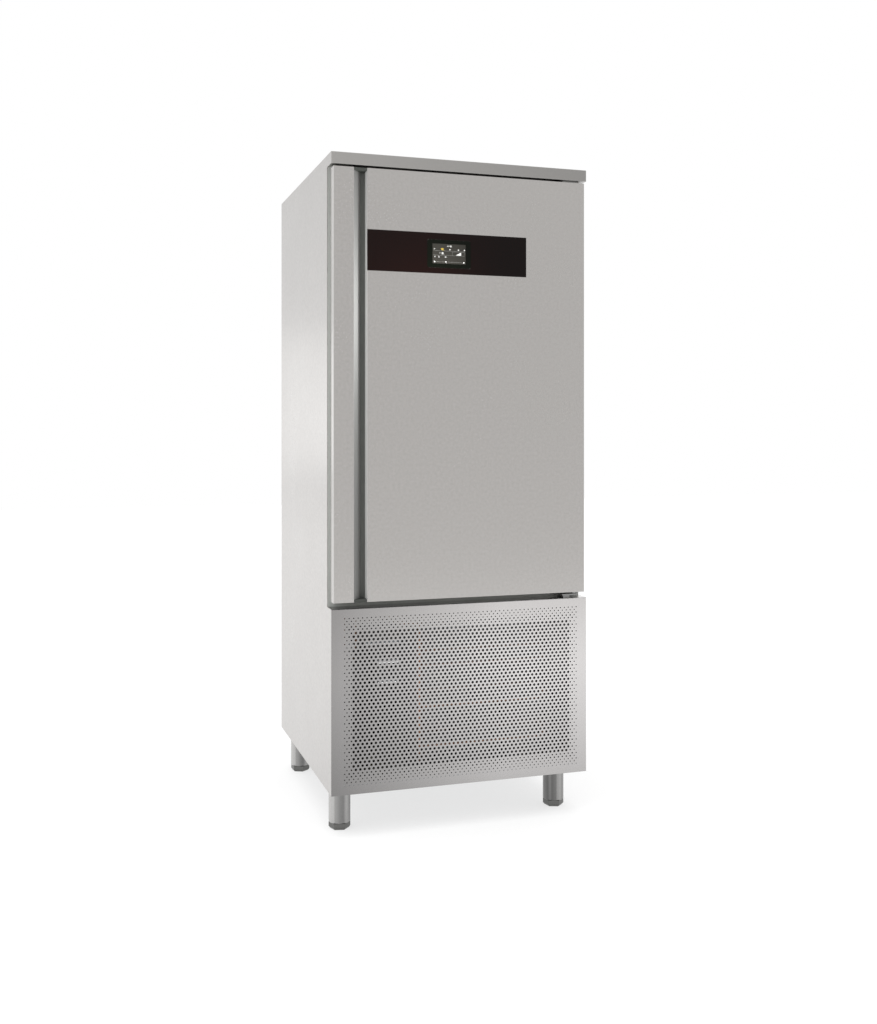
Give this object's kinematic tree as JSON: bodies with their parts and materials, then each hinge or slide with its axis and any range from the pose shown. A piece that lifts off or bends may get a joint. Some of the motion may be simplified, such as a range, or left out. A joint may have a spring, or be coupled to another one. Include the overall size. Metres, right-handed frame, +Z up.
{
  "type": "blast chiller",
  "caption": "Upright stainless blast chiller: one insulated door with a full-height recessed handle and touch display, perforated machine panel below, four levelling legs.",
  "frame": {"origin": "on the floor, under the middle of the cabinet", "axes": "+X to the right of someone facing the door, +Y towards the back, +Z up"},
  "size_m": [0.79, 0.8, 1.95],
  "materials": {
    "brushed_steel": "brushed stainless steel, fine grain",
    "chamber_steel": "stainless steel, satin",
    "galvanised_steel": "galvanised sheet, dull",
    "foam": "rigid polyurethane foam",
    "dark_plastic": "dark grey plastic, matt",
    "seal_rubber": "dark grey rubber",
    "control_black": "black-brown back-printed glass, glossy",
    "display_frame": "greenish black border of the display",
    "display_face": "dark display",
    "hinge_steel": "dark coated steel",
    "foot_steel": "stainless steel, satin",
    "fin_aluminium": "bright aluminium",
    "copper": "copper tube",
    "valve_brass": "brass",
    "black_paint": "black enamel",
    "grey_paint": "light grey powder coat"
  },
  "bodies": {
    "cabinet": {"base_frame": "galvanised_steel", "cable_gland": "dark_plastic", "chamber_drain": "chamber_steel", "chamber_liner": "chamber_steel", "compartment_deck": "galvanised_steel", "compressor": "black_paint", "compressor_mounts": "seal_rubber", "condenser_coil": "copper", "condenser_fins": "fin_aluminium", "condenser_motor": "black_paint", "condenser_shroud": "galvanised_steel", "discharge_pipe": "copper", "door_sensor": "dark_plastic", "door_surround": "dark_plastic", "electrical_box": "grey_paint", "evaporator_coil": "copper", "evaporator_fins": "fin_aluminium", "evaporator_tray": "chamber_steel", "expansion_valve": "valve_brass", "fan_baffle": "chamber_steel", "fan_guards": "chamber_steel", "fan_motors": "black_paint", "filter_drier": "valve_brass", "insulation_shell": "foam", "left_side_panel": "brushed_steel", "leg_tubes": "brushed_steel", "lintel": "brushed_steel", "liquid_pipes": "copper", "liquid_receiver": "black_paint", "lower_hinge_bracket": "hinge_steel", "perforated_panel": "brushed_steel", "rack_posts": "chamber_steel", "rear_grille": "galvanised_steel", "rear_panel": "galvanised_steel", "right_side_panel": "brushed_steel", "roof_panel": "brushed_steel", "suction_pipe": "copper", "tray_runners": "chamber_steel", "upper_hinge_bracket": "hinge_steel"},
    "door": {"door_front": "brushed_steel", "handle_profile": "brushed_steel", "handle_caps": "dark_plastic", "grip_strip": "dark_plastic", "door_foam": "foam", "door_liner": "brushed_steel", "door_gasket": "seal_rubber", "door_magnet": "dark_plastic", "hinge_bushes": "dark_plastic", "control_glass": "control_black", "display_bezel": "display_frame", "display_screen": "display_face", "control_housing": "dark_plastic"},
    "fan_rotor_lower": {"fan_rotor_lower": "dark_plastic"},
    "fan_rotor_middle": {"fan_rotor_middle": "dark_plastic"},
    "fan_rotor_upper": {"fan_rotor_upper": "dark_plastic"},
    "condenser_fan_rotor": {"condenser_fan_rotor": "dark_plastic"},
    "foot_front_left": {"foot_front_left": "foot_steel"},
    "foot_front_right": {"foot_front_right": "foot_steel"},
    "foot_rear_left": {"foot_rear_left": "foot_steel"},
    "foot_rear_right": {"foot_rear_right": "foot_steel"}
  },
  "joints": [
    {"name": "door_hinge", "type": "hinge", "parent": "cabinet", "child": "door", "pos_m": [0.3605, -0.382, 1.29], "axis": [0, 0, 1], "range_deg": [0, 110]},
    {"name": "fan_lower_spin", "type": "hinge", "parent": "cabinet", "child": "fan_rotor_lower", "pos_m": [0, 0.142, 0.93], "axis": [0, 1, 0], "continuous": true},
    {"name": "fan_middle_spin", "type": "hinge", "parent": "cabinet", "child": "fan_rotor_middle", "pos_m": [0, 0.142, 1.29], "axis": [0, 1, 0], "continuous": true},
    {"name": "fan_upper_spin", "type": "hinge", "parent": "cabinet", "child": "fan_rotor_upper", "pos_m": [0, 0.142, 1.65], "axis": [0, 1, 0], "continuous": true},
    {"name": "condenser_fan_spin", "type": "hinge", "parent": "cabinet", "child": "condenser_fan_rotor", "pos_m": [0.09, -0.2, 0.357], "axis": [0, 1, 0], "continuous": true},
    {"name": "level_front_left", "type": "slide", "parent": "cabinet", "child": "foot_front_left", "axis": [0, 0, 1], "range_m": [-0.045, 0]},
    {"name": "level_front_right", "type": "slide", "parent": "cabinet", "child": "foot_front_right", "axis": [0, 0, 1], "range_m": [-0.045, 0]},
    {"name": "level_rear_left", "type": "slide", "parent": "cabinet", "child": "foot_rear_left", "axis": [0, 0, 1], "range_m": [-0.045, 0]},
    {"name": "level_rear_right", "type": "slide", "parent": "cabinet", "child": "foot_rear_right", "axis": [0, 0, 1], "range_m": [-0.045, 0]}
  ]
}
